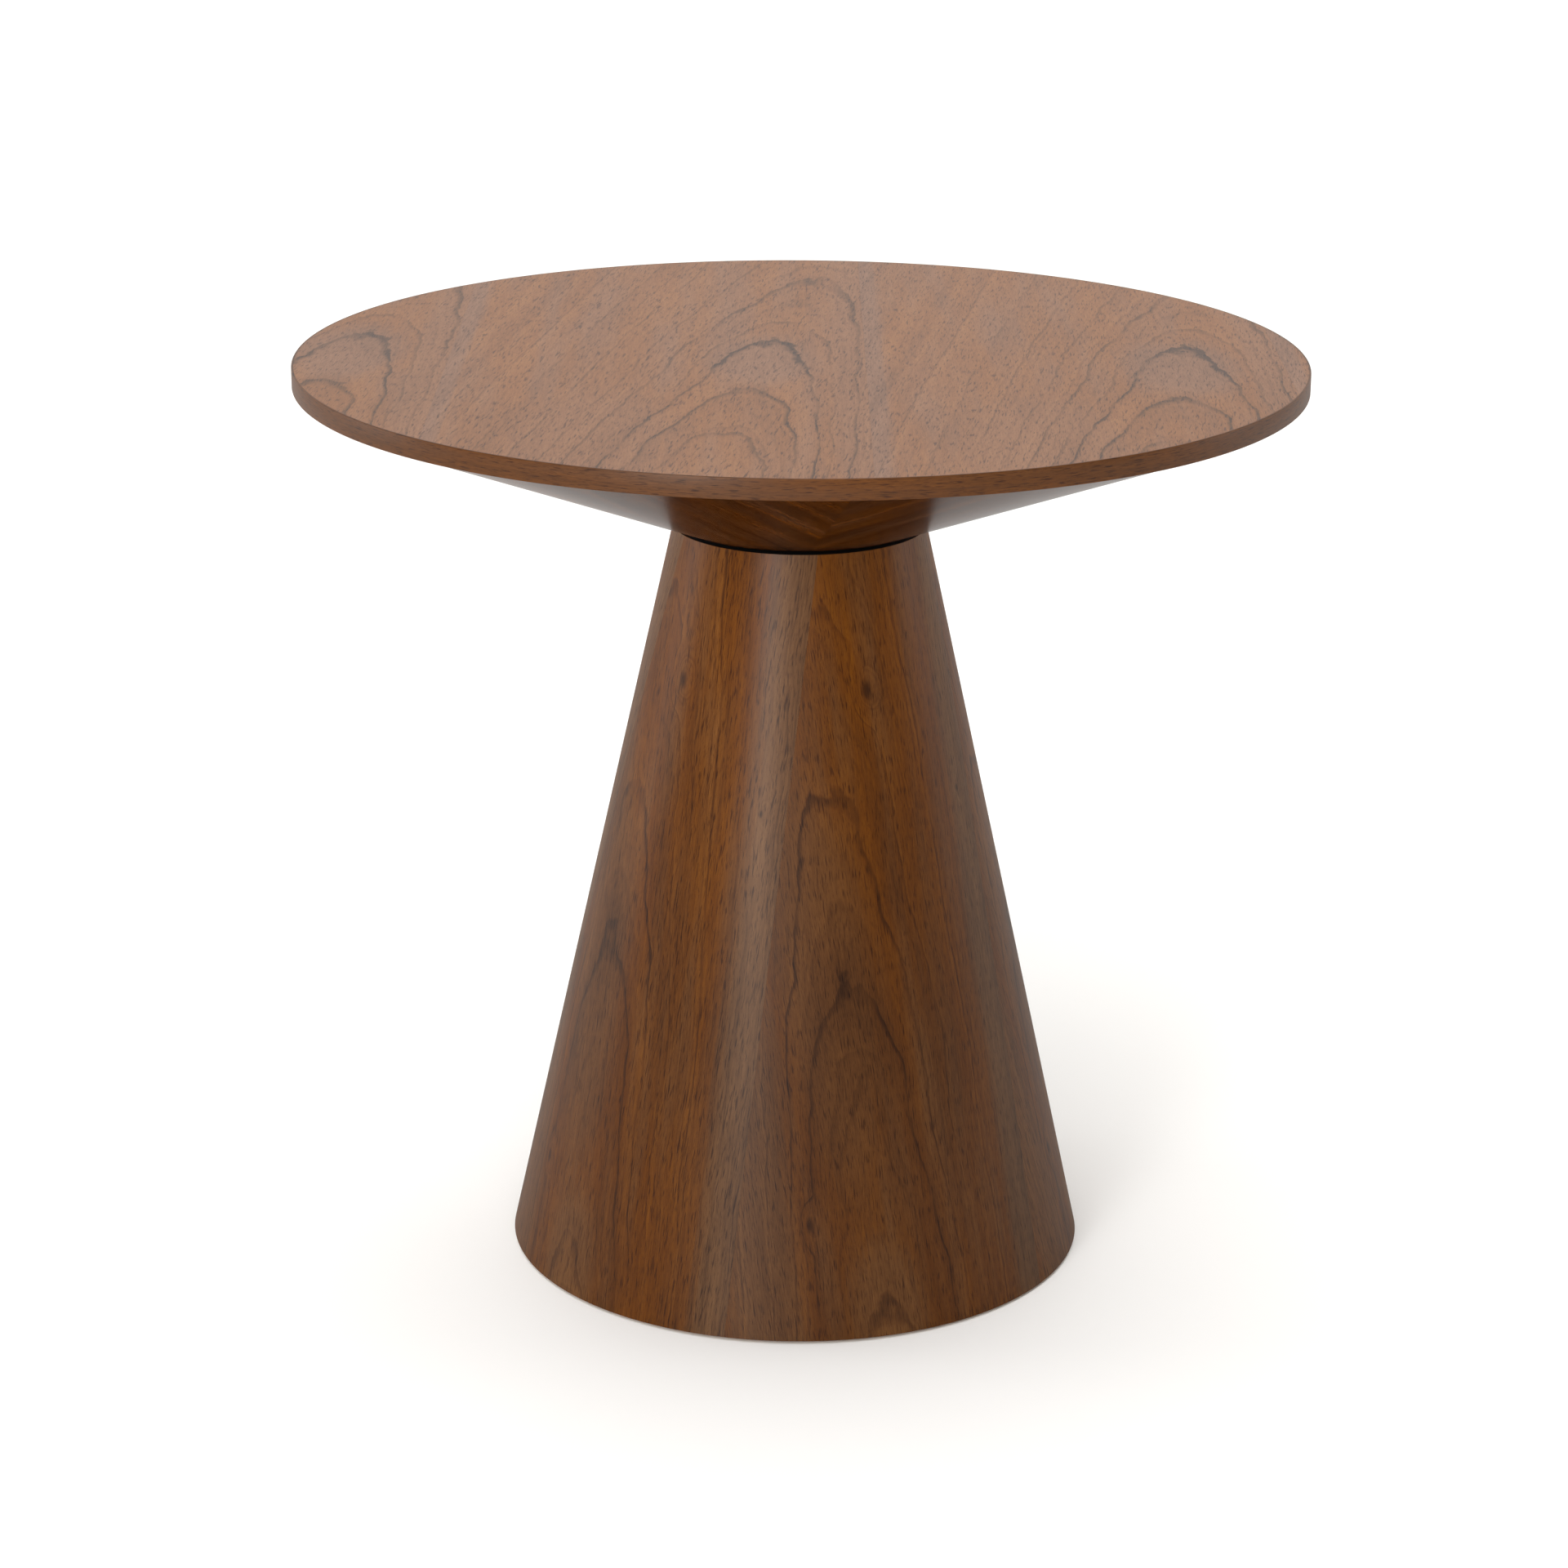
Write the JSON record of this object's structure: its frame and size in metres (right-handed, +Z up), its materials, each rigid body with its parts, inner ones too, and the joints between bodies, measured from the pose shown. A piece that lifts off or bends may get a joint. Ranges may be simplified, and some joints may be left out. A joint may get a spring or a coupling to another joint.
{
  "type": "round pedestal side table",
  "caption": "Round side table: thin veneered disc top on a shallow inverted cone, bolted through a shadow gap to a hollow flared cone pedestal with screw levelling glides.",
  "frame": {"origin": "on the floor, at the centre of the round table", "axes": "+Z up; -Y is the front, where the pedestal's light and dark veneer leaves meet; +X is the table's right side seen from the front"},
  "size_m": [0.6, 0.6, 0.558],
  "materials": {
    "walnut_top_veneer": "satin lacquered walnut veneer, greyed by the light on it",
    "walnut_edge_band": "satin lacquered walnut edge band",
    "walnut_underside_veneer": "satin lacquered walnut veneer",
    "walnut_pedestal_veneer": "satin lacquered walnut veneer",
    "backer_veneer": "raw balancing veneer",
    "mdf": "raw fibreboard",
    "plywood": "raw bending plywood",
    "black_mdf": "matt black stained fibreboard",
    "zinc_steel": "bright zinc plate",
    "insert_brass": "bare brass",
    "glide_nylon": "black nylon"
  },
  "bodies": {
    "table": {"top_core": "mdf", "top_backing_veneer": "backer_veneer", "top_edge_band": "walnut_edge_band", "top_veneer_leaf_1": "walnut_top_veneer", "top_veneer_leaf_2": "walnut_top_veneer", "top_veneer_leaf_3": "walnut_top_veneer", "top_veneer_leaf_4": "walnut_top_veneer", "underside_shell_right": "plywood", "underside_shell_left": "plywood", "underside_veneer_leaf_1": "walnut_underside_veneer", "underside_veneer_leaf_2": "walnut_underside_veneer", "underside_veneer_leaf_3": "walnut_underside_veneer", "underside_veneer_leaf_4": "walnut_underside_veneer", "underside_veneer_leaf_5": "walnut_underside_veneer", "underside_veneer_leaf_6": "walnut_underside_veneer", "underside_veneer_leaf_7": "walnut_underside_veneer", "underside_veneer_leaf_8": "walnut_underside_veneer", "underside_rib_1": "plywood", "underside_rib_2": "plywood", "underside_rib_3": "plywood", "underside_rib_4": "plywood", "underside_hub": "mdf", "neck_plate": "mdf", "neck_spacer": "black_mdf", "neck_insert_1": "insert_brass", "neck_washer_1": "zinc_steel", "neck_bolt_1": "zinc_steel", "neck_insert_2": "insert_brass", "neck_washer_2": "zinc_steel", "neck_bolt_2": "zinc_steel", "neck_insert_3": "insert_brass", "neck_washer_3": "zinc_steel", "neck_bolt_3": "zinc_steel", "neck_insert_4": "insert_brass", "neck_washer_4": "zinc_steel", "neck_bolt_4": "zinc_steel", "pedestal_shell_front": "plywood", "pedestal_shell_back": "plywood", "pedestal_veneer_leaf_1": "walnut_pedestal_veneer", "pedestal_veneer_leaf_2": "walnut_pedestal_veneer", "pedestal_veneer_leaf_3": "walnut_pedestal_veneer", "pedestal_veneer_leaf_4": "walnut_pedestal_veneer", "pedestal_veneer_leaf_5": "walnut_pedestal_veneer", "pedestal_top_plate": "mdf", "pedestal_former": "mdf", "pedestal_base_ring": "mdf", "glide_nut_1": "zinc_steel", "glide_nut_2": "zinc_steel", "glide_nut_3": "zinc_steel", "glide_nut_4": "zinc_steel"},
    "glide_foot_1": {"glide_pad_1": "glide_nylon"},
    "glide_screw_1": {"glide_stem_1": "zinc_steel"},
    "glide_foot_2": {"glide_pad_2": "glide_nylon"},
    "glide_screw_2": {"glide_stem_2": "zinc_steel"},
    "glide_foot_3": {"glide_pad_3": "glide_nylon"},
    "glide_screw_3": {"glide_stem_3": "zinc_steel"},
    "glide_foot_4": {"glide_pad_4": "glide_nylon"},
    "glide_screw_4": {"glide_stem_4": "zinc_steel"}
  },
  "joints": [
    {"name": "glide_1_height", "type": "slide", "parent": "table", "child": "glide_foot_1", "axis": [0, 0, -1], "range_m": [0, 0.0075]},
    {"name": "glide_1_turn", "type": "hinge", "parent": "glide_foot_1", "child": "glide_screw_1", "pos_m": [0.09758, -0.09758, 0], "axis": [0, 0, -1], "range_deg": [0, 2161]},
    {"name": "glide_2_height", "type": "slide", "parent": "table", "child": "glide_foot_2", "axis": [0, 0, -1], "range_m": [0, 0.0075]},
    {"name": "glide_2_turn", "type": "hinge", "parent": "glide_foot_2", "child": "glide_screw_2", "pos_m": [0.09758, 0.09758, 0], "axis": [0, 0, -1], "range_deg": [0, 2161]},
    {"name": "glide_3_height", "type": "slide", "parent": "table", "child": "glide_foot_3", "axis": [0, 0, -1], "range_m": [0, 0.0075]},
    {"name": "glide_3_turn", "type": "hinge", "parent": "glide_foot_3", "child": "glide_screw_3", "pos_m": [-0.09758, 0.09758, 0], "axis": [0, 0, -1], "range_deg": [0, 2161]},
    {"name": "glide_4_height", "type": "slide", "parent": "table", "child": "glide_foot_4", "axis": [0, 0, -1], "range_m": [0, 0.0075]},
    {"name": "glide_4_turn", "type": "hinge", "parent": "glide_foot_4", "child": "glide_screw_4", "pos_m": [-0.09758, -0.09758, 0], "axis": [0, 0, -1], "range_deg": [0, 2161]}
  ],
  "couplings": [
    {"joint": "glide_1_turn", "follows": "glide_1_height", "rad_per_m": 5026.5},
    {"joint": "glide_2_turn", "follows": "glide_2_height", "rad_per_m": 5026.5},
    {"joint": "glide_3_turn", "follows": "glide_3_height", "rad_per_m": 5026.5},
    {"joint": "glide_4_turn", "follows": "glide_4_height", "rad_per_m": 5026.5}
  ]
}
